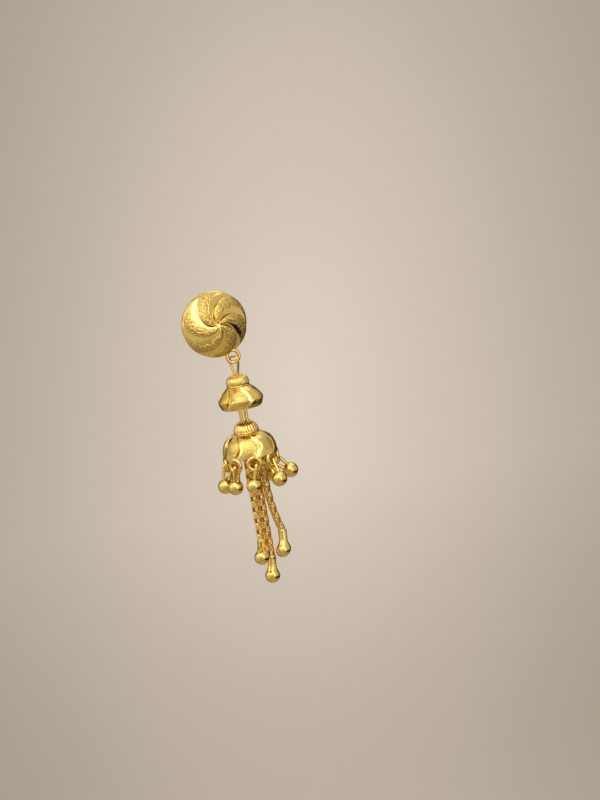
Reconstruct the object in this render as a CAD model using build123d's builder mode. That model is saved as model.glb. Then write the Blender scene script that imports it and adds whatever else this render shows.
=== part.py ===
from build123d import *
import math
import os

# A jhumka earring: a swirl-cut ear stud, and under it two small bells that hang
# one below the other. The lower bell carries eight bead drops round its rim and
# three box chains that end in pear drops. Gold throughout, sizes in mm.
#
# Frame: +Z up, the stud faces -Y, and the origin is the middle of the stud's
# back, where the post enters the ear.

# ---- ear stud ----
stud_radius = 5.0
stud_edge = 0.5              # straight edge of the stud, front to back
dome_height = 2.8            # dome above that edge
stud_wall = 0.75             # sheet of the hollow dome, scoops are cut into it
back_plate = 0.6
vent_radius = 0.4            # solder vent in the back plate
swirl_arms = 6
swirl_circle = 5.05          # each scoop follows a circle of this diameter through the middle
swirl_turn = 46.0            # where the first scoop's circle points, degrees from +X
scoop_cutter = 0.85          # radius of the round cutter for the stud's scoops
scoop_depth = 0.26
post_radius = 0.45
post_length = 10.0

# ---- ring under the stud, and the line the drops hang on ----
ring_turn = 20.0             # the ring sits this far round from the stud's lowest point
ring_reach = 5.66            # from the stud's middle to the ring's middle
stud_ring_radius = 0.925     # to the middle of the wire
stud_ring_wire = 0.275
stud_ring_y = -0.45
drop_x = ring_reach * math.sin(math.radians(ring_turn))
drop_y = stud_ring_y
stud_ring_z = -ring_reach * math.cos(math.radians(ring_turn))
upper_swing_z = stud_ring_z - stud_ring_radius       # the upper bell swings on this wire

# ---- upper bell ----
upper_cap_top = -8.3
upper_cap_base = -9.88
upper_belly_z = -11.9
upper_rim_z = -13.2
upper_cap_radius = 1.72
upper_cap_crown = 1.25
upper_belly_radius = 3.4
upper_rim_radius = 2.95
upper_flutes = 32
upper_panels = 6
upper_panel_turn = 5.5       # direction of the first crescent, degrees right of the front
lower_swing_z = -12.1        # the lower bell swings on the bottom of the upper bail

# ---- lower bell ----
lower_cap_top = -15.5
lower_cap_base = -17.1
lower_belly_z = -19.5
lower_rim_z = -20.6
lower_cap_radius = 1.92
lower_cap_crown = 1.15
lower_belly_radius = 4.0
lower_rim_radius = 4.15
lower_flutes = 16
lower_panels = 8
lower_panel_turn = 4.0
lower_neck_z = -17.25        # the lower bail's legs part below this
hanger_bar_z = -18.6         # bottom bar of the lower bail, carries the chains
hanger_half_width = 2.25

bell_wall = 0.42
bell_cutter = 0.6            # radius of the round cutter for the bells' crescents
bell_scoop_depth = 0.2
piece_gap = 0.03

# ---- wires ----
upper_wire = 0.23            # wire radii
lower_wire = 0.27
bead_wire = 0.24

# ---- rim rings and bead drops ----
rim_rings = 8
rim_ring_turn = -98.0        # direction of the first ring, degrees from +X seen from above
rim_ring_circle = 3.93
rim_ring_radius = 0.975
rim_ring_wire = 0.275
rim_ring_z = lower_rim_z - 0.85
bead_radius = 1.17
bead_dish = 0.8              # radius of the dished top, round the loop's feet
bead_hang = 2.4              # from the rim ring's bottom wire to the bead's middle
bead_loop_top = 0.81
# How each bead drop stands, from the first ring on: outward swing and sideways lean, degrees.
bead_stance = [
    (5, -16),
    (32, -14),
    (44, 0),
    (12, 6),
    (6, -4),
    (8, 5),
    (16, 4),
    (4, -14),
]

# ---- box chains ----
link_width = 0.92
link_wall = 0.11
link_play = 0.13             # free play between one link and the next
link_pitch = 0.87
link_length = link_pitch + 2 * link_wall + link_play
link_strip = link_width - 2 * link_wall - 0.22
link_twist = 4.0             # degrees from one link to the next, in a chain that twists
# Each chain: place on the hanger bar, links, twisting links, straight links, lean added
# by each later link, and the pear's own lean sideways and forward, degrees.
chain_table = [
    {"x": -0.72, "links": 17, "twisted": 9, "straight": 17, "bend": 0.0, "pear": (-10, 46)},
    {"x": 0.43, "links": 20, "twisted": 9, "straight": 20, "bend": 0.0, "pear": (-8, 4)},
    {"x": 1.58, "links": 16, "twisted": 0, "straight": 8, "bend": 1.9, "pear": (-18, 8)},
]

# ---- pear drops ----
pear_length = 4.1
pear_ball = 1.13
pear_neck = 0.66
pear_waist = 0.58

dome_sphere = (stud_radius**2 + dome_height**2) / (2 * dome_height)
dome_middle_y = dome_sphere - stud_edge - dome_height
dome_apex_y = -stud_edge - dome_height
drop_axis = Axis((drop_x, drop_y, 0), (0, 0, 1))
drop_plane = Plane(origin=(drop_x, drop_y, 0), x_dir=(1, 0, 0), z_dir=(0, -1, 0))
side_plane = Plane(origin=(drop_x, drop_y, 0), x_dir=(0, 1, 0), z_dir=(1, 0, 0))

os.makedirs("parts", exist_ok=True)


def finish(piece, label):
    """Names a finished piece and writes it."""
    piece.label = label
    export_step(piece, f"parts/{label}.step")


def wire_along(path, radius):
    """A round wire that follows a path."""
    with BuildPart() as wire:
        with BuildSketch(Plane(origin=path @ 0, z_dir=path % 0)):
            Circle(radius)
        sweep(path=path)
    return wire.part


def scoop_tool(start, middle, end, radius):
    """A round cutter carried along an arc; it lifts clear of the metal at its start."""
    return wire_along(ThreePointArc(start, middle, end), radius)


def on_dome(reach, turn, lift):
    """A point over the stud's dome, lifted square off its surface."""
    tilt = math.asin(reach / dome_sphere)
    out = (dome_sphere + lift) * math.sin(tilt)
    angle = math.radians(turn)
    return (out * math.cos(angle), dome_middle_y - (dome_sphere + lift) * math.cos(tilt), out * math.sin(angle))


def on_bell(reach, turn, z):
    """A point round the drop axis; turn 0 faces the front, and positive turns go right."""
    angle = math.radians(turn - 90)
    return (drop_x + reach * math.cos(angle), drop_y + reach * math.sin(angle), z)


def shell(crown, belly, rim, shoulder_bulge, hip_bulge, hole, wall):
    """A thin turned shell, open below, with a hole through its crown."""
    with BuildPart() as turned:
        with BuildSketch(drop_plane):
            with BuildLine():
                outer = Polyline((hole, crown[1]), crown)
                shoulder = SagittaArc(outer @ 1, belly, shoulder_bulge)
                hip = SagittaArc(shoulder @ 1, rim, hip_bulge)
                lip = Line(hip @ 1, (rim[0] - wall, rim[1]))
                inner_hip = SagittaArc(lip @ 1, (belly[0] - wall, belly[1]), -hip_bulge)
                inner_crown = (crown[0] - 0.4 * wall, crown[1] - wall)
                inner_shoulder = SagittaArc(inner_hip @ 1, inner_crown, -shoulder_bulge)
                Polyline(inner_shoulder @ 1, (hole, crown[1] - wall), (hole, crown[1]))
            make_face()
        revolve(axis=drop_axis)
    return turned.part


# ---- the stud: hollow dome, back plate and ring, soldered into one ----


def cap_profile(sphere, flat_y, apex_y, edge_radius, edge_y):
    """Half the section of a domed cap: a flat, a short edge and an arc round the sphere."""
    halfway = math.asin(edge_radius / sphere) / 2
    arc_middle = (sphere * math.sin(halfway), dome_middle_y - sphere * math.cos(halfway))
    with BuildLine() as outline:
        Polyline((0, apex_y), (0, flat_y), (edge_radius, flat_y))
        if edge_y != flat_y:
            Line((edge_radius, flat_y), (edge_radius, edge_y))
        ThreePointArc((edge_radius, edge_y), arc_middle, (0, apex_y))
    return outline.line


swirl_cutters = []
for arm in range(swirl_arms):
    far_turn = swirl_turn + arm * 360 / swirl_arms
    reaches = [0.5, 3.2, stud_radius]
    turns = [far_turn + math.degrees(math.acos(reach / swirl_circle)) for reach in reaches]
    lifts = [scoop_cutter + 0.04, scoop_cutter - scoop_depth, scoop_cutter - scoop_depth]
    spots = [on_dome(*place) for place in zip(reaches, turns, lifts)]
    swirl_cutters.append(scoop_tool(*spots, scoop_cutter))

hollow_sphere = dome_sphere - stud_wall
hollow_edge = math.sqrt(hollow_sphere**2 - (dome_middle_y + back_plate) ** 2)

with BuildPart() as stud:
    with BuildSketch(Plane.XY):
        add(cap_profile(dome_sphere, 0, dome_apex_y, stud_radius, -stud_edge))
        make_face()
    revolve(axis=Axis.Y)
    with BuildSketch(Plane.XY):
        add(cap_profile(hollow_sphere, -back_plate, dome_apex_y + stud_wall, hollow_edge, -back_plate))
        make_face()
    revolve(axis=Axis.Y, mode=Mode.SUBTRACT)
    with Locations((0, -back_plate / 2, stud_radius / 2)):
        Cylinder(vent_radius, 2 * back_plate, rotation=(90, 0, 0), mode=Mode.SUBTRACT)
    for cutter in swirl_cutters:
        add(cutter, mode=Mode.SUBTRACT)
    with Locations((drop_x, stud_ring_y, stud_ring_z)):
        Torus(stud_ring_radius, stud_ring_wire, rotation=(90, 0, 0))
finish(stud.part, "stud")

# ---- the post that goes through the ear ----
with BuildPart() as ear_post:
    with BuildSketch(Plane.XZ):
        Circle(post_radius)
    extrude(amount=-post_length)
    fillet(ear_post.edges().sort_by(Axis.Y)[-1], 0.3)
finish(ear_post.part, "ear_post")

# ---- the two bails ----
# The upper bail hooks over the stud ring, goes down through the upper cap and ends in an
# eye inside the upper bell, where the lower bail hangs from it. Its loop stands at an angle.
bail_turn = 35.0             # degrees from square to the stud's ring
bail_side = math.radians(bail_turn)
bail_spread = (-math.sin(bail_side), math.cos(bail_side), 0)
bail_plane = Plane(origin=side_plane.origin, x_dir=bail_spread, z_dir=Vector(bail_spread).cross(Vector(0, 0, 1)))
upper_hook = stud_ring_wire / math.cos(bail_side) + upper_wire + 0.28
upper_eye = 0.85
upper_neck = 0.28
with BuildPart() as upper_bail:
    with BuildLine(bail_plane) as upper_path:
        FilletPolyline(
            (0, upper_swing_z + upper_hook),
            (upper_hook, upper_swing_z + upper_hook),
            (upper_neck, upper_cap_top),
            (upper_eye, lower_swing_z),
            (0, lower_swing_z),
            radius=[0.5, 1.0, 0.45],
        )
    with BuildSketch(Plane(origin=upper_path.line @ 0, z_dir=upper_path.line % 0)):
        Circle(upper_wire)
    sweep(path=upper_path.line)
    mirror(about=Plane(origin=side_plane.origin, z_dir=bail_spread))
finish(upper_bail.part, "upper_bail")

# The lower bail hooks over that eye, goes down through the lower cap and opens into a
# hanger, whose straight bottom bar carries the three chains.
lower_hook = upper_wire / math.cos(bail_side) + lower_wire + 0.1
lower_neck = 0.43
with BuildPart() as lower_bail:
    with BuildLine(drop_plane) as lower_path:
        FilletPolyline(
            (0, lower_swing_z + lower_hook),
            (lower_hook, lower_swing_z + lower_hook),
            (lower_neck, lower_neck_z),
            (hanger_half_width - 0.3, lower_neck_z - 0.7),
            (hanger_half_width, hanger_bar_z),
            (0, hanger_bar_z),
            radius=[0.5, 0.4, 0.3, 0.25],
        )
    with BuildSketch(Plane(origin=lower_path.line @ 0, z_dir=lower_path.line % 0)):
        Circle(lower_wire)
    sweep(path=lower_path.line)
    mirror(about=side_plane)
finish(lower_bail.part, "lower_bail")


# ---- fluted caps ----
cap_bulge = 0.27


def fluted_cap(crown_radius, top, base_radius, base, hole, flutes, flute_radius, flute_depth):
    """A small domed cap with flutes round its side and a plain edge at its foot."""
    edge = 0.22
    blank = shell(
        (crown_radius, top),
        (base_radius - 0.04, base + 0.5),
        (base_radius, base),
        cap_bulge,
        0.03,
        hole,
        0.38,
    )
    middle = (top + base) / 2
    side = on_bell(base_radius + flute_radius - flute_depth, 0, middle - 0.1)
    above = on_bell(crown_radius + 0.1 + flute_radius, 0, top + 0.6 * flute_radius)
    below = on_bell(base_radius + flute_radius, 0, base + edge)
    cutter = scoop_tool(above, side, below, flute_radius)
    with BuildPart() as cap:
        add(blank)
        for flute in range(flutes):
            add(cutter.rotate(drop_axis, (flute + 0.5) * 360 / flutes), mode=Mode.SUBTRACT)
    return cap.part


upper_cap = fluted_cap(upper_cap_crown, upper_cap_top, upper_cap_radius, upper_cap_base,
                       0.6, upper_flutes, 0.14, 0.07)
finish(upper_cap, "upper_cap")
lower_cap = fluted_cap(lower_cap_crown, lower_cap_top, lower_cap_radius, lower_cap_base,
                       0.8, lower_flutes, 0.36, 0.09)
finish(lower_cap, "lower_cap")


# ---- bells ----
def bell_scoops(crown, belly, rim, count, first_turn, sweep_turn):
    """The crescent scoops that part a bell into panels."""
    tools = []
    lean = 0.5 * sweep_turn
    middle_z = (crown[1] + rim[1]) / 2
    for panel in range(count):
        turn = first_turn + panel * 360 / count
        start = on_bell(crown[0] + 0.35 + bell_cutter, turn - lean, crown[1] + 0.05)
        middle = on_bell(belly[0] - 0.12 + bell_cutter - bell_scoop_depth, turn + lean, middle_z)
        end = on_bell(rim[0] + bell_cutter - 0.03, turn - lean, rim[1] + 0.15)
        tools.append(scoop_tool(start, middle, end, bell_cutter))
    return tools


upper_profile = [(upper_cap_radius, upper_cap_base - piece_gap), (upper_belly_radius, upper_belly_z),
                 (upper_rim_radius, upper_rim_z)]
with BuildPart() as upper_bell:
    add(shell(*upper_profile, 0.22, 0.06, 1.0, bell_wall))
    for cutter in bell_scoops(*upper_profile, upper_panels, upper_panel_turn, 21):
        add(cutter, mode=Mode.SUBTRACT)
finish(upper_bell.part, "upper_bell")

lower_profile = [(lower_cap_radius, lower_cap_base - piece_gap), (lower_belly_radius, lower_belly_z),
                 (lower_rim_radius, lower_rim_z)]
with BuildPart() as lower_bell:
    add(shell(*lower_profile, 0.5, 0.03, 1.66, bell_wall))
    for cutter in bell_scoops(*lower_profile, lower_panels, lower_panel_turn, 15):
        add(cutter, mode=Mode.SUBTRACT)
    with Locations((drop_x, drop_y, rim_ring_z)):
        with PolarLocations(rim_ring_circle, rim_rings, start_angle=rim_ring_turn):
            Torus(rim_ring_radius, rim_ring_wire, rotation=(0, 90, 0))
finish(lower_bell.part, "lower_bell")

# ---- bead drops ----
# One is made about the rim ring's bottom wire, then stood at each ring as the table says.
with BuildPart() as bead_pattern:
    with Locations((0, 0, -bead_hang)):
        Sphere(bead_radius)
    with Locations((0, 0, -bead_hang + bead_radius + 0.35)):
        Sphere(bead_dish, mode=Mode.SUBTRACT)
    with BuildLine(Plane.XZ) as bead_path:
        FilletPolyline(
            (0.4, -bead_hang + 0.45),
            (0.57, bead_loop_top),
            (-0.57, bead_loop_top),
            (-0.4, -bead_hang + 0.45),
            radius=0.53,
        )
    with BuildSketch(Plane(origin=bead_path.line @ 0, z_dir=bead_path.line % 0)):
        Circle(bead_wire)
    sweep(path=bead_path.line)

ring_bottom_z = rim_ring_z - rim_ring_radius
for number, (outward, sideways) in enumerate(bead_stance):
    ring_turn_here = rim_ring_turn + number * 360 / rim_rings
    hang_point = Location((drop_x, drop_y, ring_bottom_z), (0, 0, ring_turn_here))
    stance = hang_point * Location((rim_ring_circle, 0, 0), (sideways, -outward, 0))
    with BuildPart() as bead_drop:
        with Locations(stance):
            add(bead_pattern.part)
    finish(bead_drop.part, f"bead_drop_{number + 1}")

# ---- box chains and pear drops ----
with BuildPart() as link_pattern:
    Box(link_width, link_strip, link_length)
    Box(link_width - 2 * link_wall, link_strip, link_length - 2 * link_wall, mode=Mode.SUBTRACT)


# A pear drop hangs from a link soldered on its top. Its body is made about the middle of
# its neck's top edge, so that it can lean there.
ball_z = -pear_length + pear_ball
throat_turn = math.radians(52)
throat = (pear_ball * math.sin(throat_turn), ball_z + pear_ball * math.cos(throat_turn))
with BuildPart() as pear_pattern:
    with BuildSketch(Plane.XZ):
        with BuildLine():
            Polyline((0, 0.12), (pear_neck - 0.14, 0.12), (pear_neck, -0.08), (pear_waist, -1.0))
            SagittaArc((pear_waist, -1.0), throat, -0.09)
            ThreePointArc(throat, (pear_ball, ball_z), (0, ball_z - pear_ball))
            Line((0, ball_z - pear_ball), (0, 0.12))
        make_face()
    revolve(axis=Axis.Z)
neck_drop = Location((0, 0, -link_length / 2))

first_link_z = hanger_bar_z - (link_length / 2 - link_wall - lower_wire - 0.1)
for number, chain in enumerate(chain_table):
    spot = Vector(drop_x + chain["x"], drop_y, first_link_z)
    lean = 0.0
    twist = 90.0
    with BuildPart() as box_chain:
        for link in range(chain["links"]):
            place = Location(spot) * Location((0, 0, 0), (0, -lean, 0)) * Location((0, 0, 0), (0, 0, twist))
            with Locations(place):
                add(link_pattern.part)
            if link >= chain["straight"]:
                lean += chain["bend"]
            twist += 90 + (link_twist if link < chain["twisted"] else 0)
            heading = Vector(math.sin(math.radians(lean)), 0, -math.cos(math.radians(lean)))
            spot += heading * link_pitch
    finish(box_chain.part, f"chain_{number + 1}")
    sideways, forward = chain["pear"]
    end_place = Location(spot) * Location((0, 0, 0), (0, -lean, 0))
    pear_place = end_place * neck_drop * Location((0, 0, 0), (-forward, -sideways, 0))
    with BuildPart() as pear_drop:
        with Locations(end_place * Location((0, 0, 0), (0, 0, twist))):
            add(link_pattern.part)
        with Locations(pear_place):
            add(pear_pattern.part)
    finish(pear_drop.part, f"pear_drop_{number + 1}")
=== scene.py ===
import math

import bpy
import numpy as np
from mathutils import Matrix, Vector, noise


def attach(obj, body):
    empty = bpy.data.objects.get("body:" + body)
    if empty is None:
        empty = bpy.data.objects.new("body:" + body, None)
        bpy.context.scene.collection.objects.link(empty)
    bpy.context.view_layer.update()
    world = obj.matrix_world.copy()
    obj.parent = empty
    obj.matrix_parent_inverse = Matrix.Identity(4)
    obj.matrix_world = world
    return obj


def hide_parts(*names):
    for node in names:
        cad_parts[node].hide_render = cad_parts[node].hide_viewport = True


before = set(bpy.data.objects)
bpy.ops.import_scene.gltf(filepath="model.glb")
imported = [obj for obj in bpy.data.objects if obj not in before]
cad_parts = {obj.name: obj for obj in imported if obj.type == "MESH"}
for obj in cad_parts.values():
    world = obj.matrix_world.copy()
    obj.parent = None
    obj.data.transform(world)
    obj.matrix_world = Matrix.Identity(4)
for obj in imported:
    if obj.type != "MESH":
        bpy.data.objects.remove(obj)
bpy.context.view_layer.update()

# A jhumka earring in 22 carat gold: a swirl-cut stud, and two small bells hung under it,
# the lower one with bead drops round its rim and three box chains that end in pear drops.
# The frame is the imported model's: +Z up, the stud faces -Y, and the origin is the middle
# of the stud's back. Sizes below are in millimetres; MM turns them to Blender's metres.

MM = 0.001

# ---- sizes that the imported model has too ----
stud_radius = 5.0
stud_edge = 0.5              # how thick the stud's rim is
dome_height = 2.8
dome_sphere = (stud_radius**2 + dome_height**2) / (2 * dome_height)
dome_middle_y = dome_sphere - stud_edge - dome_height
swirl_arms = 6
swirl_circle = 5.05          # each arm runs along a circle this wide, through the stud's middle
ring_turn = math.radians(20.0)
ring_reach = 5.66            # from the stud's middle to the middle of the ring under it
stud_ring_radius = 0.925     # ring radii are to the middle of the wire
stud_ring_wire = 0.275       # wires are given by their radius
drop_x = ring_reach * math.sin(ring_turn)
drop_y = -0.45
stud_ring_z = -ring_reach * math.cos(ring_turn)
upper_swing_z = stud_ring_z - stud_ring_radius
lower_swing_z = -12.1
drop_axis = Vector((drop_x, drop_y, 0))

# ---- how the earring is seen ----
view_azimuth = -14.0         # degrees
view_elevation = 9.5
view_roll = 10.0
view_distance = 420.0
view_height = 120.3          # what the picture takes in from top to bottom, at that distance
stud_left = 12.86            # the stud's middle lies this far left of the picture's middle
stud_above = 11.38           # and this far above it


def linear(hex_colour):
    """An sRGB colour such as F8CC70 as linear red, green, blue and alpha."""
    parts = [int(hex_colour[i:i + 2], 16) / 255 for i in (0, 2, 4)]
    return [c / 12.92 if c <= 0.04045 else ((c + 0.055) / 1.055) ** 2.4 for c in parts] + [1.0]


def smooth_step(low, high, value):
    """0 below low, 1 above high, and an even curve between them; low may be the larger."""
    part = np.clip((value - low) / (high - low), 0.0, 1.0)
    return part * part * (3.0 - 2.0 * part)


def deselect_all():
    bpy.ops.object.select_all(action="DESELECT")


# ---- camera ----
def place_camera():
    """A long lens in front of the stud, a little to its left and above, and rolled. Gives
    the spot it looks at and the camera's own back, right and up."""
    azimuth, elevation, roll = map(math.radians, (view_azimuth, view_elevation, view_roll))
    back = Vector((math.sin(azimuth) * math.cos(elevation),
                   -math.cos(azimuth) * math.cos(elevation), math.sin(elevation)))
    level = Vector((math.cos(azimuth), math.sin(azimuth), 0))
    upright = back.cross(level)
    right = level * math.cos(roll) - upright * math.sin(roll)
    up = level * math.sin(roll) + upright * math.cos(roll)
    stud_middle = Vector((0, -stud_edge, 0))
    middle = stud_middle + right * stud_left - up * stud_above
    data = bpy.data.cameras.new("camera")
    data.sensor_width = 36.0
    data.lens = data.sensor_width * view_distance / view_height
    data.clip_start = 0.01
    data.clip_end = 20.0
    camera = bpy.data.objects.new("camera", data)
    bpy.context.scene.collection.objects.link(camera)
    camera.matrix_world = Matrix.LocRotScale(
        (middle + back * view_distance) * MM, Matrix((right, up, back)).transposed(), None)
    bpy.context.scene.camera = camera
    return middle * MM, back, right, up


view_middle, view_back, view_right, view_up = place_camera()


# ---- materials ----
def add_node(tree, kind, settings=(), inputs=(), links=()):
    """Adds a node, sets its properties and input values, and links its inputs to sockets."""
    node = tree.nodes.new(kind)
    for name, value in dict(settings).items():
        setattr(node, name, value)
    for name, value in dict(inputs).items():
        node.inputs[name].default_value = value
    for name, socket in dict(links).items():
        tree.links.new(socket, node.inputs[name])
    return node


def new_material(name):
    material = bpy.data.materials.new(name)
    material.use_nodes = True
    material.node_tree.nodes.clear()
    return material, material.node_tree


gold_colour = "F8D478"       # 22 carat: a full, warm yellow
painted_shade_brown = "6B4310"        # painted shade: the dark brown painted into creases, edges, pits and grooves
COLOUR_A, COLOUR_B, COLOUR_RESULT = 6, 7, 2     # the colour sockets of a Mix node


def gold(name, smooth, rough, cut_rough, grain, bump_depth):
    """22 carat gold. Its roughness wanders between smooth and rough, in patches grain
    millimetres wide, where the buffing wheel dragged; engraved places are cut_rough, and
    a painted shade of dark brown darkens the colour in creases, edges, pits and grooves."""
    material, tree = new_material(name)
    place = add_node(tree, "ShaderNodeTexCoord")
    drag = add_node(tree, "ShaderNodeTexNoise",
                    inputs={"Scale": 1 / (grain * MM), "Detail": 3.0},
                    links={"Vector": place.outputs["Object"]})
    buffing = add_node(tree, "ShaderNodeMapRange",
                       inputs={"From Min": 0.3, "From Max": 0.7,
                               "To Min": smooth, "To Max": rough},
                       links={"Value": drag.outputs["Fac"]})
    engraved = add_node(tree, "ShaderNodeAttribute", {"attribute_name": "engraved"})
    painted_shade = add_node(tree, "ShaderNodeAttribute", {"attribute_name": "painted_shade"})
    roughness = add_node(tree, "ShaderNodeMix", inputs={"B": cut_rough},
                         links={"Factor": engraved.outputs["Fac"],
                                "A": buffing.outputs["Result"]})
    # painted shade: the colour darkens towards dark brown where a piece paints it
    colour = add_node(tree, "ShaderNodeMix", {"data_type": "RGBA"},
                      inputs={COLOUR_A: linear(gold_colour), COLOUR_B: linear(painted_shade_brown)},
                      links={"Factor": painted_shade.outputs["Fac"]})
    bump = add_node(tree, "ShaderNodeBump",
                    inputs={"Strength": 0.25, "Distance": bump_depth * MM},
                    links={"Height": drag.outputs["Fac"]})
    metal = add_node(tree, "ShaderNodeBsdfPrincipled", inputs={"Metallic": 1.0},
                     links={"Base Color": colour.outputs[COLOUR_RESULT],
                            "Roughness": roughness.outputs["Result"],
                            "Normal": bump.outputs["Normal"]})
    add_node(tree, "ShaderNodeOutputMaterial", links={"Surface": metal.outputs["BSDF"]})
    return material


# Stamped and bright-cut: mirror crescents beside engraved lobes that scatter the light.
bright_cut_gold = gold("bright_cut_gold", 0.12, 0.20, 0.38, 0.5, 0.03)
# Rolled flutes, tumbled smooth: each flute carries its own narrow streak of light.
fluted_gold = gold("fluted_gold", 0.20, 0.28, 0.35, 0.4, 0.03)
# Drawn wire and cast drops, buffed by hand: a mirror with soft dents and drag marks.
buffed_gold = gold("buffed_gold", 0.22, 0.32, 0.35, 0.6, 0.06)
# Folded strip, tumbled: finer marks, so that each small face of a link shines as one.
chain_gold = gold("chain_gold", 0.20, 0.30, 0.35, 0.3, 0.03)

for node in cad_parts.values():
    node.data.materials.clear()
    node.data.materials.append(buffed_gold)


# ---- shaping ----
def turned(name, outline, steps, place=(0, 0, 0), axis="Z"):
    """Draws an outline of (radius, height) points, in millimetres, and turns it once round
    the axis that runs through place."""
    spots = [Vector((radius, 0, height) if axis == "Z" else (radius, height, 0)) * MM
             for radius, height in outline]
    deselect_all()
    bpy.ops.mesh.primitive_plane_add(size=MM, location=spots[0])
    piece = bpy.context.object
    piece.name = name
    bpy.ops.object.transform_apply(location=True, rotation=True, scale=True)
    bpy.ops.object.mode_set(mode="EDIT")
    bpy.ops.mesh.select_mode(type="VERT")
    bpy.ops.mesh.select_all(action="SELECT")
    bpy.ops.mesh.merge(type="CENTER")
    for here, there in zip(spots, spots[1:]):
        bpy.ops.mesh.extrude_region_move(TRANSFORM_OT_translate={"value": there - here})
    bpy.ops.object.mode_set(mode="OBJECT")
    turn = piece.modifiers.new("turn", "SCREW")
    turn.axis = axis
    turn.steps = turn.render_steps = steps
    bpy.ops.object.modifier_apply(modifier="turn")
    bpy.ops.object.mode_set(mode="EDIT")
    bpy.ops.mesh.select_all(action="SELECT")
    bpy.ops.mesh.remove_doubles(threshold=0.002 * MM)
    bpy.ops.mesh.normals_make_consistent(inside=False)
    bpy.ops.object.mode_set(mode="OBJECT")
    bpy.ops.object.shade_smooth()
    piece.data.transform(Matrix.Translation(Vector(place) * MM))
    return piece


def arc(start, end, bulge, steps):
    """Points of an arc from start to end, without start; bulge is its height over the
    straight line, to the left of the way it runs."""
    start, end = np.array(start), np.array(end)
    along = end - start
    length = np.hypot(*along)
    left = np.array((-along[1], along[0])) / length
    radius = (length**2 / 4 + bulge**2) / (2 * bulge)
    half = math.asin(min(1.0, length / 2 / abs(radius)))
    middle = (start + end) / 2 + left * (bulge - radius)
    points = []
    for step in range(1, steps + 1):
        turn = half * (2 * step / steps - 1)
        points.append(middle + left * radius * math.cos(turn)
                      + along / length * abs(radius) * math.sin(turn))
    return [tuple(point) for point in points]


def softened(points, passes):
    """The same line with its corners rounded and its ends kept."""
    points = np.array(points)
    for _ in range(passes):
        points[1:-1] = (points[:-2] + 2 * points[1:-1] + points[2:]) / 4
    return [tuple(point) for point in points]


def read_points(piece):
    """Where a piece's vertices are, in millimetres, and which way each one faces."""
    count = len(piece.data.vertices)
    places, facing = np.empty(count * 3), np.empty(count * 3)
    piece.data.vertices.foreach_get("co", places)
    piece.data.vertices.foreach_get("normal", facing)
    return places.reshape(-1, 3) / MM, facing.reshape(-1, 3)


def write_points(piece, places):
    piece.data.vertices.foreach_set("co", (places * MM).ravel())
    piece.data.update()


def write_finish(piece, engraved, painted_shade):
    """Stores how engraved each point is and how much painted shade darkens it, for its material.
    """
    for name, values in (("engraved", engraved), ("painted_shade", painted_shade)):
        attribute = piece.data.attributes.new(name, "FLOAT", "POINT")
        attribute.data.foreach_set("value", np.clip(values, 0.0, 1.0))


def noise_shift(seed):
    """Where in the noise a pattern is taken from, so that no two are alike."""
    return Vector((seed * 7.3, seed * 3.1, seed * 5.7))


def noise_at(places, size, seed):
    """Smooth noise from -1 to 1 at each place, in lumps of about that size."""
    shift = noise_shift(seed)
    return np.array([noise.noise(Vector(place) / size + shift) for place in places])


def pits_at(places, size, seed):
    """How far each place is from the nearest of many scattered pits, in pit spacings."""
    shift = noise_shift(seed)
    return np.array([noise.voronoi(Vector(place) / size + shift)[0][0] for place in places])


def share_through(turn, sector):
    """How far each direction is through its arm or panel, from 0 to 1; turn and sector are
    in degrees. The line where the turned mesh closes counts as 0."""
    part = (turn / sector) % 1.0
    part[part > 0.9995] = 0.0
    return part


def drop_turn(places):
    """Direction round the drop axis: 0 faces the front and 90 faces right, in degrees."""
    return np.degrees(np.arctan2(places[:, 0] - drop_x, drop_y - places[:, 1]))


def drop_reach(places):
    """How far each place is from the drop axis."""
    return np.hypot(places[:, 0] - drop_x, places[:, 1] - drop_y)


def faces_outward(places, facing, upward_share):
    """True where a surface faces away from the drop axis or, by that share, upward."""
    return (facing[:, 0] * (places[:, 0] - drop_x) + facing[:, 1] * (places[:, 1] - drop_y)
            + facing[:, 2] * upward_share) > 0


def finished(piece, body, material, node):
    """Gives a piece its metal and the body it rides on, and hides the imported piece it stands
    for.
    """
    piece.data.materials.clear()
    piece.data.materials.append(material)
    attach(piece, body)
    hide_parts(node)


def joined(name, *pieces):
    """Solders pieces into one."""
    deselect_all()
    for piece in pieces:
        piece.select_set(True)
    bpy.context.view_layer.objects.active = pieces[0]
    bpy.ops.object.join()
    pieces[0].name = name
    return pieces[0]


def copy_of(pattern, name):
    """A copy with its own mesh."""
    piece = bpy.data.objects.new(name, pattern.data.copy())
    bpy.context.scene.collection.objects.link(piece)
    return piece


def placed(piece, place):
    """Moves a piece's mesh; the object itself stays at the origin."""
    piece.data.transform(place)
    piece.data.update()


def ring(radius, wire_radius, place, facing):
    """A closed ring of round wire, its hole facing that way."""
    deselect_all()
    bpy.ops.mesh.primitive_torus_add(
        major_radius=radius * MM, minor_radius=wire_radius * MM, major_segments=48,
        minor_segments=16, location=Vector(place) * MM,
        rotation=Vector(facing).to_track_quat("Z", "Y").to_euler())
    bpy.ops.object.transform_apply(location=True, rotation=True, scale=True)
    bpy.ops.object.shade_smooth()
    return bpy.context.object


# ---- the stud ----
stud_sectors, stud_rings = 480, 128
face_y = -0.3                # the face is in front of this, the rim and the back behind it
swirl_edge_turn = 30.0       # the first arm's crisp edge, degrees from +X, before the swirl
scoop_share = 0.42           # part of each arm that is a smooth scoop, the rest is its lobe
wall_share = 0.035           # part of each arm that is the little wall at its crisp edge
scoop_drop = 0.30            # how deep the scoop is at the foot of the wall
lobe_lip = 0.10              # how high the lobe stands at the top of the wall
lobe_crown = 0.16            # and how much it swells in its middle
worm_size, fine_worm_size = 0.31, 0.15          # the engraving's wandering ridges
worm_width, worm_height, worm_bed = 0.17, 0.08, 0.045


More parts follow.
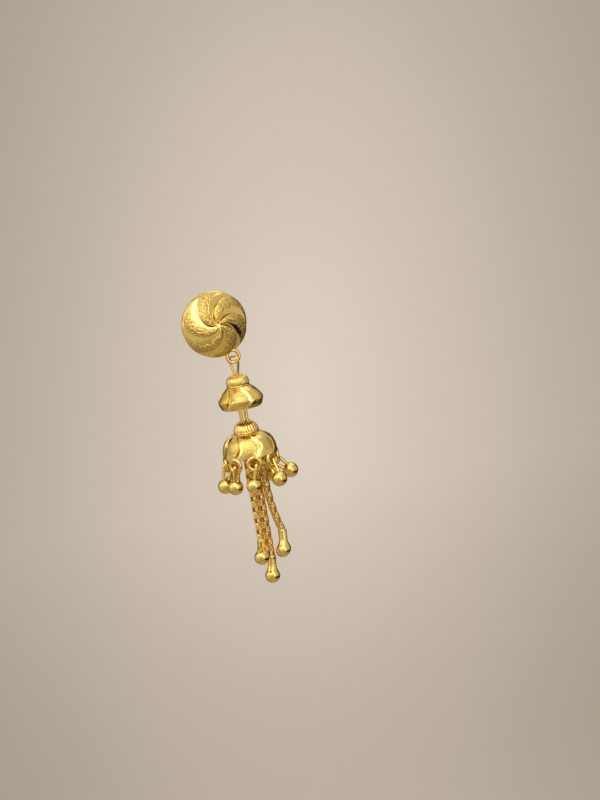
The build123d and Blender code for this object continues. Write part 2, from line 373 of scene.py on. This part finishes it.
def swirl_relief(part):
    """Height across one arm, going clockwise from the crisp edge (part 0) to the next (1)."""
    lobe_end = 1.0 - scoop_share
    foot = 1.0 - wall_share
    lobe = np.clip(part / lobe_end, 0.0, 1.0)
    swell = lobe_lip * (1 - lobe) + lobe_crown * np.sin(math.pi * lobe) ** 0.8
    scoop = np.clip((part - lobe_end) / (foot - lobe_end), 0.0, 1.0)
    wall = np.clip((part - foot) / wall_share, 0.0, 1.0)
    return (swell * (part <= lobe_end) - scoop_drop * scoop**1.25
            + (scoop_drop + lobe_lip) * wall)


def make_stud():
    """A domed stud whose face is scooped into six swirling arms, with engraved lobes."""
    reach = math.asin(stud_radius / dome_sphere)
    dome = []
    for step in range(stud_rings + 1):
        tilt = reach * step / stud_rings
        dome.append((dome_sphere * math.sin(tilt), dome_middle_y - dome_sphere * math.cos(tilt)))
    # round the rim, over the edge that holds the back plate, and in to the plate's middle
    rim_and_back = [(stud_radius, -0.42), (stud_radius, -0.28), (stud_radius, -0.14),
                    (4.97, -0.05), (4.9, 0.0), (4.6, 0.0), (4.55, -0.05), (4.45, -0.08),
                    (3.2, -0.08), (1.8, -0.08), (0.7, -0.08), (0.0, -0.08)]
    stud = turned("stud_body", dome + rim_and_back, stud_sectors, axis="Y")
    places, _ = read_points(stud)
    radius = np.hypot(places[:, 0], places[:, 2])
    turn = np.degrees(np.arctan2(places[:, 2], places[:, 0]))
    front = places[:, 1] < face_y
    part = share_through(-turn, 360 / swirl_arms)

    # each point turns about the middle, so that straight arms become swirling ones
    swirl = np.degrees(np.arccos(np.clip(radius / swirl_circle, 0.0, stud_radius / swirl_circle)))
    swirl[~front] = math.degrees(math.acos(stud_radius / swirl_circle))
    new_turn = np.radians(turn + swirl_edge_turn + swirl)
    places[:, 0] = radius * np.cos(new_turn)
    places[:, 2] = radius * np.sin(new_turn)
    tilt = np.arcsin(np.clip(radius / dome_sphere, 0, 1))
    outward = np.stack([np.sin(tilt) * np.cos(new_turn), -np.cos(tilt),
                        np.sin(tilt) * np.sin(new_turn)], 1)

    # the relief is flat at the very middle and shallow at the rim
    strength = smooth_step(0.15, 1.3, radius) * (1 - 0.75 * smooth_step(4.2, 5.0, radius)) * front
    relief = swirl_relief(part) * strength

    # engraving: short wandering ridges over the lobe, with a ragged end where the scoop begins
    ragged = 0.05 * noise_at(places, 0.35, 1)
    cut = smooth_step(0.035, 0.06, part) * smooth_step(0.61, 0.56, part + ragged)
    cut *= smooth_step(0.5, 0.9, radius) * smooth_step(4.95, 4.75, radius) * front
    worms = noise_at(places, worm_size, 2) + 0.4 * noise_at(places, fine_worm_size, 3)
    ridge = np.exp(-(worms / worm_width) ** 2)
    relief += cut * (worm_height * ridge - worm_bed)
    places += outward * relief[:, None]
    write_points(stud, places)

    # painted shade, in dark brown, lies at the foot of each wall and between the ridges; the back
    # is satin
    foot_line = 0.85 * np.exp(-((part - 1 + wall_share) / 0.026) ** 2) * strength
    between = 0.45 * cut * smooth_step(0.45, 0.1, ridge)
    write_finish(stud, np.maximum(cut, ~front), np.maximum(foot_line, between))
    hang_ring = ring(stud_ring_radius, stud_ring_wire, (drop_x, drop_y, stud_ring_z), (0, -1, 0))
    stud = joined("stud_body", stud, hang_ring)
    finished(stud, "ear_stud", bright_cut_gold, "stud")


make_stud()


# ---- bells ----
bell_wall = 0.42             # how thick a bell's rolled edge is
bell_steps = 92              # points down the outside
shoulder_share = 0.66        # part of them above the belly
panel_wall = 0.03            # part of each panel that is the little wall at its crisp edge
panel_lip = 0.05             # how high a lobe stands there
pit_spacing, pit_depth = 0.18, 0.05             # stippling
line_spacing, line_depth = 0.21, 0.022          # fine slanting lines
milgrain_down, milgrain_width = 0.95, 0.05      # shares of a bell's height


def make_bell(name, hole, crown, belly, rim, shoulder_bulge, hip_bulge, sectors, softening):
    """A turned bell: down the outside, round the lip and back up the inside."""
    shoulder_steps = round(bell_steps * shoulder_share)
    side = [crown] + arc(crown, belly, shoulder_bulge, shoulder_steps)
    side += arc(belly, rim, hip_bulge, bell_steps - shoulder_steps)
    crown_radius, crown_z = crown
    outside = [(hole, crown_z), (0.5 * (hole + crown_radius), crown_z)]
    outside += softened(side, softening)
    rim_radius, rim_z = rim
    lip = [(rim_radius - 0.05, rim_z - 0.04), (rim_radius - bell_wall / 2, rim_z - 0.05),
           (rim_radius - bell_wall + 0.05, rim_z - 0.04)]
    inner_rim = (rim_radius - bell_wall, rim_z + 0.02)
    inner_belly = (belly[0] - bell_wall, belly[1])
    inner_crown = (crown_radius - 0.3, crown_z - bell_wall)
    inside = [inner_rim] + arc(inner_rim, inner_belly, -hip_bulge, 5)
    inside += arc(inner_belly, inner_crown, -shoulder_bulge, 12)
    top = [(hole, crown_z - bell_wall), (hole, crown_z)]
    return turned(name, outside + lip + inside + top, sectors, drop_axis)


def carve_bell(bell, crown_z, rim_z, panels, edge_turn, lean, scoop_width, drop, puff, patch,
               belly_radius, milgrain, grains, seed):
    """Parts a turned bell into panels: from each crisp edge a polished crescent rises to the
    right and runs into the next lobe. Every second lobe is stippled, the others are lined.
    patch gives its middle across and down, as shares of the panel, and its radius."""
    places, facing = read_points(bell)
    sector = 360.0 / panels
    down = np.clip((crown_z - places[:, 2]) / (crown_z - rim_z), 0.0, 1.0)
    on_outside = (faces_outward(places, facing, 0.8) & (places[:, 2] < crown_z + 0.001)
                  & (places[:, 2] > rim_z))
    out = drop_reach(places)
    turn = drop_turn(places)
    part = share_through(turn, sector)
    panel = np.round(turn / sector - part).astype(int) % panels

    # the panels' edges bow: they swing over at mid-height and back at the crown and the rim
    swing = lean * (1 - 2 * (2 * down - 1) ** 2)
    new_turn = np.radians(turn + edge_turn + swing)
    places[:, 0] = drop_x + out * np.sin(new_turn)
    places[:, 1] = drop_y - out * np.cos(new_turn)
    flat = np.hypot(facing[:, 0], facing[:, 1])
    facing[:, 0], facing[:, 1] = flat * np.sin(new_turn), -flat * np.cos(new_turn)

    # across a panel: the crescent's rise, the lobe's swell, and the wall down to the next
    taper = np.sin(math.pi * down) ** 0.7 * on_outside
    width = np.maximum(scoop_width * taper, 0.02)
    wall_start = 1 - panel_wall
    rise = np.clip(part / width, 0.0, 1.0)
    lobe = np.clip((part - width) / (wall_start - width), 0.0, 1.0)
    fall = np.clip((part - wall_start) / panel_wall, 0.0, 1.0)
    relief = taper * (-drop * (1 - rise) ** 1.1 + puff * np.sin(math.pi * lobe)
                      + panel_lip * lobe**2 - (panel_lip + drop) * fall)

    # a beaded line near the rim
    grain = np.abs(np.cos(new_turn * grains / 2))
    beaded = smooth_step(milgrain_width, 0.0, np.abs(down - milgrain_down)) * on_outside
    relief += milgrain * beaded * (0.4 + 0.6 * grain)

    # the patches: a stippled round one, or fine slanting lines
    middle_part, middle_down, patch_radius = patch
    across = (part - middle_part) * math.radians(sector) * belly_radius
    along = (down - middle_down) * (crown_z - rim_z) * 1.15
    reach = np.hypot(across, along) + 0.10 * noise_at(places, 0.4, seed)
    cut = smooth_step(patch_radius, patch_radius - 0.2, reach) * on_outside
    cut *= smooth_step(wall_start, 0.94, part) * smooth_step(width + 0.02, width + 0.08, part)
    stippled = cut * (panel % 2 == 1)
    lined = cut * (panel % 2 == 0)
    pits = smooth_step(0.52, 0.12, pits_at(places, pit_spacing, seed)) * stippled
    lines = 0.5 + 0.5 * np.cos(2 * math.pi * (across * 0.9 + along * 0.5) / line_spacing)
    relief += 0.02 * stippled - pit_depth * pits - line_depth * lines * lined
    places += facing * relief[:, None]
    write_points(bell, places)

    # lobes are satin and crescents polished; painted shade, in dark brown, lies along the edges
    # and in the pits and the lines
    satin = 0.45 * on_outside * smooth_step(width + 0.01, width + 0.12, part)
    satin *= smooth_step(wall_start, 0.95, part)
    edge_line = 0.75 * np.exp(-(np.minimum(part, 1 - part) / 0.016) ** 2) * taper
    write_finish(bell, np.maximum(satin, stippled + 0.8 * lined),
                 np.maximum(edge_line, 0.5 * pits + 0.35 * lined * lines))


upper_crown_z, upper_rim_z = -9.91, -13.2
upper_bell = make_bell("upper_bell_body", hole=1.0, crown=(1.72, upper_crown_z),
                       belly=(3.52, -11.9), rim=(2.95, upper_rim_z), shoulder_bulge=0.07,
                       hip_bulge=0.06, sectors=576, softening=30)
carve_bell(upper_bell, upper_crown_z, upper_rim_z, panels=6, edge_turn=-1.0, lean=10.5,
           scoop_width=0.31, drop=0.3, puff=0.11, patch=(0.65, 0.52, 1.4), belly_radius=3.4,
           milgrain=0.05, grains=84, seed=4)
finished(upper_bell, "upper_drop", bright_cut_gold, "upper_bell")

lower_crown_z, lower_rim_z = -17.13, -20.6
lower_bell = make_bell("lower_bell_body", hole=1.66, crown=(1.92, lower_crown_z),
                       belly=(4.0, -19.5), rim=(4.15, lower_rim_z), shoulder_bulge=0.5,
                       hip_bulge=0.03, sectors=640, softening=50)
carve_bell(lower_bell, lower_crown_z, lower_rim_z, panels=8, edge_turn=-1.0, lean=7.5,
           scoop_width=0.29, drop=0.26, puff=0.06, patch=(0.65, 0.5, 1.25), belly_radius=4.0,
           milgrain=0.0, grains=0, seed=5)

# the eight rings soldered under the lower bell's rim
rim_rings = 8
rim_ring_circle, rim_ring_radius, rim_ring_wire = 3.93, 0.95, 0.31
rim_ring_z = lower_rim_z - 0.85
rim_ring_turns = [math.radians(-98.0) + number * 2 * math.pi / rim_rings
                  for number in range(rim_rings)]
rings = []
for around in rim_ring_turns:
    out = Vector((math.cos(around), math.sin(around), 0))
    spot = drop_axis + out * rim_ring_circle + Vector((0, 0, rim_ring_z))
    rings.append(ring(rim_ring_radius, rim_ring_wire, spot, out))
lower_bell = joined("lower_bell_body", lower_bell, *rings)
finished(lower_bell, "lower_drop", bright_cut_gold, "lower_bell")


# ---- caps ----
flute_steps = 12             # sides to each flute
cap_shoulder = 0.95          # radius of the flat round the open top
grain_count, grain_radius = 16, 0.1


def make_cap(name, hole, top_z, foot, bulge, flutes, depth, body, node):
    """A small domed cap: flutes down its side, a plain edge at its foot, and an open top
    with grains round it."""
    foot_radius, foot_z = foot
    shoulder = (cap_shoulder, top_z)
    side_end = (foot_radius + 0.02, foot_z + 0.2)
    outline = [(hole, top_z - 0.35), (hole, top_z - 0.06), (hole + 0.05, top_z), shoulder]
    outline += arc(shoulder, side_end, bulge, 32)
    outline += [(foot_radius + wider, foot_z + above) for wider, above in (
        (-0.02, 0.17), (0.05, 0.12), (0.06, 0.06), (0.03, 0.01), (-0.05, 0.0), (-0.38, 0.0))]
    outline += [(1.0, top_z - 0.6), (hole, top_z - 0.35)]
    cap = turned(name, outline, flutes * flute_steps, drop_axis)
    places, facing = read_points(cap)
    flute = (drop_turn(places) * flutes / 360) % 1.0
    rib = np.abs(np.sin(math.pi * flute))
    fluted = smooth_step(side_end[1] - 0.03, side_end[1] + 0.12, places[:, 2])
    fluted *= smooth_step(hole + 0.15, 1.35, drop_reach(places))
    fluted *= faces_outward(places, facing, 1.0)
    places += facing * (depth * (rib - 0.6) * fluted)[:, None]
    write_points(cap, places)
    # painted shade, in dark brown, lies in the bottoms of the flutes
    write_finish(cap, 0 * rib, 0.35 * fluted * smooth_step(0.3, 0.0, rib))
    grains = []
    for number in range(grain_count):
        around = 2 * math.pi * number / grain_count
        reach = hole + 0.12
        spot = Vector((reach * math.cos(around), reach * math.sin(around), top_z))
        deselect_all()
        bpy.ops.mesh.primitive_ico_sphere_add(subdivisions=2, radius=grain_radius * MM,
                                              location=(drop_axis + spot) * MM)
        bpy.ops.object.transform_apply(location=True, rotation=True, scale=True)
        bpy.ops.object.shade_smooth()
        grains.append(bpy.context.object)
    cap = joined(name, cap, *grains)
    finished(cap, body, fluted_gold, node)


make_cap("upper_cap_body", hole=0.62, top_z=-8.3, foot=(1.70, -9.88), bulge=0.33, flutes=34,
         depth=0.045, body="upper_drop", node="upper_cap")
make_cap("lower_cap_body", hole=0.82, top_z=-15.5, foot=(1.90, -17.1), bulge=0.24, flutes=22,
         depth=0.09, body="lower_drop", node="lower_cap")


# ---- wires ----
def wire(name, points, radius, closed):
    """Round wire through the points, its corners rounded by a smooth curve."""
    data = bpy.data.curves.new(name, "CURVE")
    data.dimensions = "3D"
    data.bevel_depth = radius * MM
    data.bevel_resolution = 5
    data.use_fill_caps = True
    spline = data.splines.new("NURBS")
    spline.points.add(len(points) - 1)
    for spot, point in zip(spline.points, points):
        spot.co = (*(Vector(point) * MM), 1.0)
    spline.order_u = 3
    spline.use_cyclic_u = closed
    spline.use_endpoint_u = not closed
    spline.resolution_u = 10
    curve = bpy.data.objects.new(name, data)
    bpy.context.scene.collection.objects.link(curve)
    deselect_all()
    curve.select_set(True)
    bpy.context.view_layer.objects.active = curve
    bpy.ops.object.convert(target="MESH")
    bpy.ops.object.shade_smooth()
    return bpy.context.object


def loop_points(spread, half_outline, side=0.0):
    """A closed loop about the drop axis, from half its outline: (reach, height) rows from
    the top's middle to the bottom's middle. spread is the direction that the loop lies in,
    and side moves the whole loop square to it."""
    spread = Vector(spread)
    square = Vector((-spread.y, spread.x, 0))
    right, left = ([drop_axis + way * spread * reach + square * side + Vector((0, 0, z))
                    for reach, z in half_outline] for way in (1, -1))
    return right + left[::-1]


# The upper bail is two strands side by side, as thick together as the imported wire.
bail_turn = math.radians(35.0)
bail_spread = (-math.sin(bail_turn), math.cos(bail_turn), 0)
upper_wire, lower_wire = 0.23, 0.27
bail_strand, bail_strand_side = 0.14, 0.1
upper_hook = stud_ring_wire / math.cos(bail_turn) + upper_wire + 0.28
hook_top = upper_swing_z + upper_hook
half_bail = [
    (0.12, hook_top), (0.58, hook_top), (upper_hook, hook_top - 0.38),      # over the ring
    (upper_hook - 0.02, hook_top - 0.85), (0.30, -8.15), (0.28, -8.7),      # through the cap
    (0.5, -10.2), (0.85, lower_swing_z + 0.5), (0.85, lower_swing_z),       # the eye
    (0.4, lower_swing_z)]
strands = [wire("strand", loop_points(bail_spread, half_bail, side), bail_strand, True)
           for side in (-bail_strand_side, bail_strand_side)]
upper_bail = joined("upper_bail_wire", *strands)
finished(upper_bail, "upper_drop", buffed_gold, "upper_bail")

lower_bail_wire = 0.28
hanger_bar_z = -18.6
lower_hook = upper_wire / math.cos(bail_turn) + lower_wire + 0.1
hook_top = lower_swing_z + lower_hook
half_hanger = [
    (0.3, hook_top), (lower_hook, hook_top), (lower_hook, hook_top - 0.8),  # over the eye
    (0.42, -13.3), (0.39, -14.3), (0.4, -16.2), (0.43, -17.2),              # through the cap
    (1.95, -17.8), (2.2, -18.1), (2.25, hanger_bar_z), (1.9, hanger_bar_z),  # the hanger
    (1.0, hanger_bar_z)]
lower_bail = wire("lower_bail_wire", loop_points((1, 0, 0), half_hanger), lower_bail_wire, True)
finished(lower_bail, "lower_drop", buffed_gold, "lower_bail")


# ---- bead drops ----
bead_radius, bead_wire = 1.17, 0.27
bead_hang = 2.4              # from the rim ring's bottom wire down to the ball's middle
bead_loop_top = 0.81         # and up to the top of the loop's sides
dish_sphere, dish_edge, dish_foot = 0.8, 0.78, 0.62     # the dished top: sphere and radii
# How each bead drop stands, from the first ring on: outward swing and sideways lean, degrees.
bead_stance = [(5, -16), (32, -14), (44, 0), (12, 6), (6, -4), (8, 5), (16, 4), (4, -14)]


def make_bead():
    """A ball with a dished top, and a wire loop that stands in the dish."""
    dish_z = bead_radius + 0.35
    edge_turn = math.asin(dish_edge / bead_radius)
    edge_z = bead_radius * math.cos(edge_turn)
    ball = [(bead_radius * math.sin(turn), -bead_radius * math.cos(turn))
            for turn in np.linspace(0.0, math.pi - edge_turn - 0.06, 26)]
    rim = [(dish_edge + 0.02, edge_z), (dish_edge - 0.06, edge_z - 0.03)]
    dish = [(dish_sphere * math.sin(turn), dish_z - dish_sphere * math.cos(turn))
            for turn in np.linspace(math.asin(dish_foot / dish_sphere), 0.0, 8)]
    outline = [(radius, z - bead_hang) for radius, z in ball + rim + dish]
    body = turned("bead", outline, 40)
    foot_z = 0.42 - bead_hang
    half_loop = [(0.36, foot_z), (0.42, foot_z + 0.6), (0.57, 0.3), (0.57, bead_loop_top),
                 (0.1, bead_loop_top)]
    points = [(x, 0, z) for x, z in half_loop] + [(-x, 0, z) for x, z in half_loop[::-1]]
    return joined("bead", body, wire("loop", points, bead_wire, False))


bead_pattern = make_bead()
ring_bottom = Vector((drop_x, drop_y, rim_ring_z - rim_ring_radius))
for number, (outward, sideways) in enumerate(bead_stance):
    stance = (Matrix.Translation(ring_bottom * MM)
              @ Matrix.Rotation(rim_ring_turns[number], 4, "Z")
              @ Matrix.Translation(Vector((rim_ring_circle, 0, 0)) * MM)
              @ Matrix.Rotation(math.radians(sideways), 4, "X")
              @ Matrix.Rotation(math.radians(-outward), 4, "Y"))
    bead = copy_of(bead_pattern, f"bead_{number + 1}")
    placed(bead, stance)
    finished(bead, "lower_drop", buffed_gold, f"bead_drop_{number + 1}")
bpy.data.objects.remove(bead_pattern)


# ---- box chains and pear drops ----
link_width, link_strip, link_wall, link_pitch = 0.94, 0.66, 0.13, 0.87
packed_wall, link_play = 0.11, 0.13
link_length = link_pitch + 2 * packed_wall + link_play
link_twist = 7.0             # degrees that a link turns past square to the one above
twisted_links = 6
pear_length, pear_ball, pear_neck, pear_waist = 4.15, 1.15, 0.68, 0.65
# Each chain: its place on the hanger bar, its links, the lean that each link adds after the
# straight ones, and its pear drop's lean sideways and forward, in degrees, and bend.
chain_table = [
    {"x": -0.72, "links": 17, "straight": 17, "lean": 0.0, "pear": (-16, 46), "bend": 0.0},
    {"x": 0.43, "links": 20, "straight": 20, "lean": 0.0, "pear": (-8, 4), "bend": 0.0},
    {"x": 1.58, "links": 16, "straight": 8, "lean": 1.9, "pear": (-18, 8), "bend": -0.45},
]


def make_link():
    """One link: a strip folded into a box with rounded corners and softened edges."""
    deselect_all()
    bpy.ops.mesh.primitive_cube_add(size=MM, scale=(link_width, link_strip, link_length))
    link = bpy.context.object
    bpy.ops.object.transform_apply(location=True, rotation=True, scale=True)
    bpy.ops.object.mode_set(mode="EDIT")
    bpy.ops.mesh.select_mode(type="FACE")
    bpy.ops.mesh.select_all(action="DESELECT")
    bpy.ops.object.mode_set(mode="OBJECT")
    for face in link.data.polygons:
        face.select = abs(face.normal.y) > 0.9
    bpy.ops.object.mode_set(mode="EDIT")
    bpy.ops.mesh.delete(type="FACE")
    bpy.ops.mesh.select_mode(type="EDGE")
    bpy.ops.mesh.select_all(action="DESELECT")
    bpy.ops.object.mode_set(mode="OBJECT")
    for edge in link.data.edges:
        ends = [link.data.vertices[index].co for index in edge.vertices]
        edge.select = abs(ends[0].y - ends[1].y) > link_strip * MM / 2
    bpy.ops.object.mode_set(mode="EDIT")
    bpy.ops.mesh.bevel(offset=0.22 * MM, segments=3)
    bpy.ops.object.mode_set(mode="OBJECT")
    sheet = link.modifiers.new("sheet", "SOLIDIFY")
    sheet.thickness = link_wall * MM
    sheet.offset = -1
    soft = link.modifiers.new("soft", "BEVEL")
    soft.width = 0.03 * MM
    soft.segments = 2
    soft.limit_method = "ANGLE"
    soft.angle_limit = math.radians(50)
    for modifier in ("sheet", "soft"):
        bpy.ops.object.modifier_apply(modifier=modifier)
    bpy.ops.object.shade_smooth_by_angle(angle=math.radians(45))
    return link


def make_pear(seed, bend):
    """A long-necked cast drop; its surface is a little uneven, and its axis may be bent."""
    ball_z = -pear_length + pear_ball
    throat_turn = math.radians(52)
    neck, waist = (pear_neck, -0.08), (pear_waist, -1.0)
    throat = (pear_ball * math.sin(throat_turn), ball_z + pear_ball * math.cos(throat_turn))
    outline = [(0.0, 0.12), (pear_neck - 0.2, 0.12), (pear_neck - 0.05, 0.07), neck]
    outline += arc(neck, waist, -0.03, 8)
    outline += arc(waist, throat, -0.09, 10)
    outline += [(pear_ball * math.sin(turn), ball_z + pear_ball * math.cos(turn))
                for turn in np.linspace(throat_turn, math.pi, 26)[1:]]
    pear = turned("pear", outline, 40)
    places, facing = read_points(pear)
    fall = np.clip(-places[:, 2] / pear_length, 0.0, 1.0)
    uneven = 0.035 * noise_at(places, 0.9, seed) * smooth_step(0.0, 0.3, fall)
    places += facing * uneven[:, None]
    places[:, 0] += bend * fall**2
    write_points(pear, places)
    return pear


link_pattern = make_link()
first_link_z = hanger_bar_z - (link_length / 2 - packed_wall - lower_wire - 0.1)
for number, chain in enumerate(chain_table):
    spot = Vector((drop_x + chain["x"], drop_y, first_link_z))
    lean, twist = 0.0, 90.0
    links = []
    for count in range(chain["links"] + 1):
        hang = Matrix.Translation(spot * MM) @ Matrix.Rotation(math.radians(-lean), 4, "Y")
        link = copy_of(link_pattern, "link")
        placed(link, hang @ Matrix.Rotation(math.radians(twist), 4, "Z"))
        links.append(link)
        if count == chain["links"]:
            break
        if count >= chain["straight"]:
            lean += chain["lean"]
        twist += 90 + (link_twist if count < twisted_links else 0)
        heading = Vector((math.sin(math.radians(lean)), 0, -math.cos(math.radians(lean))))
        spot += heading * link_pitch
    # the last link is soldered to the pear drop's neck
    sideways, forward = chain["pear"]
    pear = make_pear(10 + number, chain["bend"])
    placed(pear, hang @ Matrix.Translation((0, 0, -link_length / 2 * MM))
           @ Matrix.Rotation(math.radians(-forward), 4, "X")
           @ Matrix.Rotation(math.radians(-sideways), 4, "Y"))
    pear = joined(f"pear_{number + 1}", pear, links.pop())
    finished(pear, "lower_drop", buffed_gold, f"pear_drop_{number + 1}")
    strand = joined(f"box_chain_{number + 1}", *links)
    finished(strand, "lower_drop", chain_gold, f"chain_{number + 1}")
bpy.data.objects.remove(link_pattern)


# ---- floor and backdrop ----
floor_z = -240.0
bowl_radius = 950.0
bowl_bend = 400.0
bowl_top = 750.0
floor_glow = 0.6             # share of the floor that is evenly lit; the rest takes shadows
floor_fade = 60.0            # how high above the floor the wall is evenly lit all over
glow_flatness = 0.49         # the glow is an oval, this much narrower than it is high
glow_reach = 0.45            # metres from the middle of the glow to the plain wall
glow_stops = [(0.0, "DFD2C2"), (0.0735, "CBBEAE"), (0.108, "BFB4A4"), (0.143, "B5AA99"),
              (0.175, "ADA292"), (0.45, "CCC9C3")]


def make_backdrop():
    """A pale floor that sweeps up into a round wall, painted with a soft oval glow."""
    outline = [(0.0, floor_z), (bowl_radius - bowl_bend, floor_z)]
    turns = [math.pi / 2 * step / 16 for step in range(1, 17)]
    outline += [(bowl_radius - bowl_bend * (1 - math.sin(turn)),
                 floor_z + bowl_bend * (1 - math.cos(turn))) for turn in turns]
    outline.append((bowl_radius, bowl_top))
    bowl = turned("backdrop", outline, 64)
    material, tree = new_material("painted_backdrop")
    place = add_node(tree, "ShaderNodeTexCoord")

    # how far each spot is from the middle of the glow, across and up
    glow_middle = view_middle - view_back * bowl_radius * MM
    from_glow = add_node(tree, "ShaderNodeVectorMath", {"operation": "SUBTRACT"},
                         inputs={1: glow_middle}, links={0: place.outputs["Object"]})
    ways = [add_node(tree, "ShaderNodeVectorMath", {"operation": "DOT_PRODUCT"},
                     inputs={1: way}, links={0: from_glow.outputs["Vector"]})
            for way in (view_right, view_up * glow_flatness)]
    squares = [add_node(tree, "ShaderNodeMath", {"operation": "POWER"}, inputs={1: 2.0},
                        links={0: way.outputs["Value"]}) for way in ways]
    total = add_node(tree, "ShaderNodeMath", {"operation": "ADD"},
                     links={0: squares[0].outputs["Value"], 1: squares[1].outputs["Value"]})
    away = add_node(tree, "ShaderNodeMath", {"operation": "SQRT"},
                    links={0: total.outputs["Value"]})
    spread = add_node(tree, "ShaderNodeMapRange", inputs={"From Min": 0.0, "From Max": glow_reach},
                      links={"Value": away.outputs["Value"]})
    fade = add_node(tree, "ShaderNodeValToRGB", links={"Fac": spread.outputs["Result"]})
    stops = fade.color_ramp.elements
    for at, colour in glow_stops[1:-1]:
        stops.new(at / glow_reach)
    for stop, (at, colour) in zip(stops, glow_stops):
        stop.position = at / glow_reach
        stop.color = linear(colour)

    # the camera and the gold see the paint evenly lit, and the floor keeps its shadows
    paint = add_node(tree, "ShaderNodeBsdfDiffuse", links={"Color": fade.outputs["Color"]})
    glow = add_node(tree, "ShaderNodeEmission", links={"Color": fade.outputs["Color"]})
    ray = add_node(tree, "ShaderNodeLightPath")
    seen = add_node(tree, "ShaderNodeMath", {"operation": "MAXIMUM"},
                    links={0: ray.outputs["Is Camera Ray"], 1: ray.outputs["Is Glossy Ray"]})
    height = add_node(tree, "ShaderNodeSeparateXYZ", links={"Vector": place.outputs["Object"]})
    raised = add_node(tree, "ShaderNodeMapRange",
                      inputs={"From Min": floor_z * MM, "From Max": (floor_z + floor_fade) * MM,
                              "To Min": floor_glow},
                      links={"Value": height.outputs["Z"]})
    even = add_node(tree, "ShaderNodeMath", {"operation": "MULTIPLY"},
                    links={0: seen.outputs["Value"], 1: raised.outputs["Result"]})
    mixed = add_node(tree, "ShaderNodeMixShader",
                     links={0: even.outputs["Value"], 1: paint.outputs["BSDF"],
                            2: glow.outputs["Emission"]})
    add_node(tree, "ShaderNodeOutputMaterial", links={"Surface": mixed.outputs["Shader"]})
    bowl.data.materials.append(material)


make_backdrop()


# ---- light ----
# Where each lamp and card stands: its direction from the earring, as right, up and towards
# the camera, then its distance and its width and height in metres.
lamps = [
    ("key", (-0.32, 0.55, 0.77), 0.62, (0.6, 0.6), 1.0),
    ("key_middle", (-0.18, 0.6, 0.78), 0.55, (0.3, 0.34), 1.5),
    ("left", (-0.92, 0.25, 0.3), 0.6, (0.25, 0.4), 1.2),
    ("front_right", (0.43, 0.15, 0.85), 0.6, (0.2, 0.5), 1.5),
    ("top", (0.1, 1.0, 0.0), 0.7, (0.5, 0.5), 0.8),
]
dark_cards = [
    ("dark_card_right", (0.62, 0.0, -0.78), 0.35, (0.36, 0.6), "4A2C14"),
    ("dark_card_low_right", (0.76, -0.58, 0.0), 0.3, (0.5, 0.3), "1E0C04"),
    ("dark_card_low_back", (0.0, -0.62, -0.78), 0.35, (0.5, 0.36), "4A2C14"),
    ("dark_card_left", (-0.62, 0.0, -0.78), 0.35, (0.2, 0.55), "4A2C14"),
]
earring_middle = Vector((0.002, 0.0, -0.017))


def aimed(direction, distance):
    """The place of something that stands in that direction and faces the earring."""
    right, up, towards = direction
    away = (view_right * right + view_up * up + view_back * towards).normalized()
    return (Matrix.Translation(earring_middle + away * distance)
            @ away.to_track_quat("Z", "Y").to_matrix().to_4x4())


def soft_lamp(name, direction, distance, size, radiance):
    """A white soft box, aimed at the earring; radiance 1 looks white."""
    data = bpy.data.lights.new(name, "AREA")
    data.shape = "RECTANGLE"
    data.size, data.size_y = size
    data.energy = radiance * math.pi * size[0] * size[1]
    lamp = bpy.data.objects.new(name, data)
    bpy.context.scene.collection.objects.link(lamp)
    lamp.matrix_world = aimed(direction, distance)
    lamp.visible_camera = False


def dark_card(name, direction, distance, size, colour):
    """A brown card that only the gold sees; it gives the gold's shine its dark parts."""
    deselect_all()
    bpy.ops.mesh.primitive_plane_add(size=1)
    sheet = bpy.context.object
    sheet.name = name
    sheet.data.transform(aimed(direction, distance) @ Matrix.Diagonal((*size, 1, 1)))
    sheet.visible_camera = False
    sheet.visible_diffuse = False
    sheet.visible_shadow = False
    material, tree = new_material(name)
    face = add_node(tree, "ShaderNodeEmission", inputs={"Color": linear(colour)})
    add_node(tree, "ShaderNodeOutputMaterial", links={"Surface": face.outputs["Emission"]})
    sheet.data.materials.append(material)


def light_world():
    """A plain, nearly white room, dimmer than the lamps."""
    world = bpy.data.worlds.new("studio")
    bpy.context.scene.world = world
    world.use_nodes = True
    tree = world.node_tree
    tree.nodes.clear()
    sky = add_node(tree, "ShaderNodeBackground",
                   inputs={"Color": linear("F4F2EE"), "Strength": 0.7})
    add_node(tree, "ShaderNodeOutputWorld", links={"Surface": sky.outputs["Background"]})


for lamp in lamps:
    soft_lamp(*lamp)
for card in dark_cards:
    dark_card(*card)
light_world()
bpy.context.scene.view_settings.view_transform = "Standard"

bpy.context.view_layer.update()
